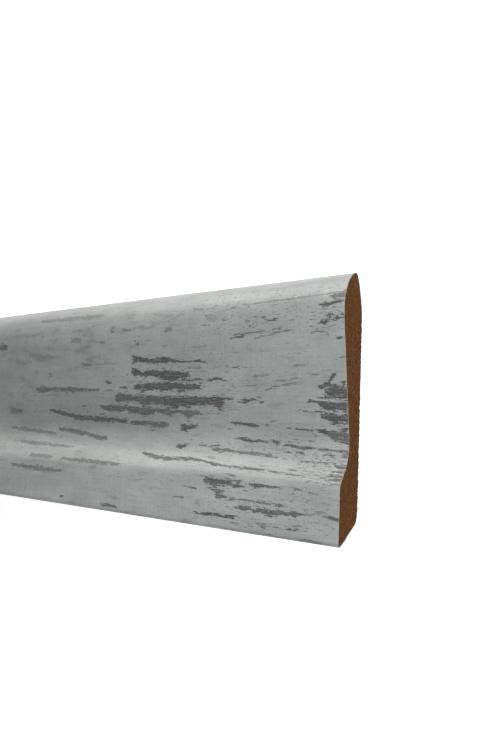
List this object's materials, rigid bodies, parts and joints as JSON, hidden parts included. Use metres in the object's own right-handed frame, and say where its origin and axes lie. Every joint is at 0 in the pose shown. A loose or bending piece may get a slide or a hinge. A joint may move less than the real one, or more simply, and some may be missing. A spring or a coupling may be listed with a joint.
{
  "type": "skirting board length",
  "caption": "Length of moulded skirting board: a milled MDF core with a flat toe, hollow neck and rounded top edge, wrapped in a distressed painted-wood print.",
  "frame": {"origin": "middle of the board's length and height, on the plane of its flat back, on which it lies", "axes": "+X along the length, +Y up the board from its floor edge to its top edge, +Z out of its face"},
  "size_m": [2.4, 0.08, 0.016],
  "materials": {
    "mdf": "matte",
    "foil": "satin"
  },
  "bodies": {
    "root": {"mdf_core": "mdf", "decor_foil": "foil"}
  },
  "joints": []
}
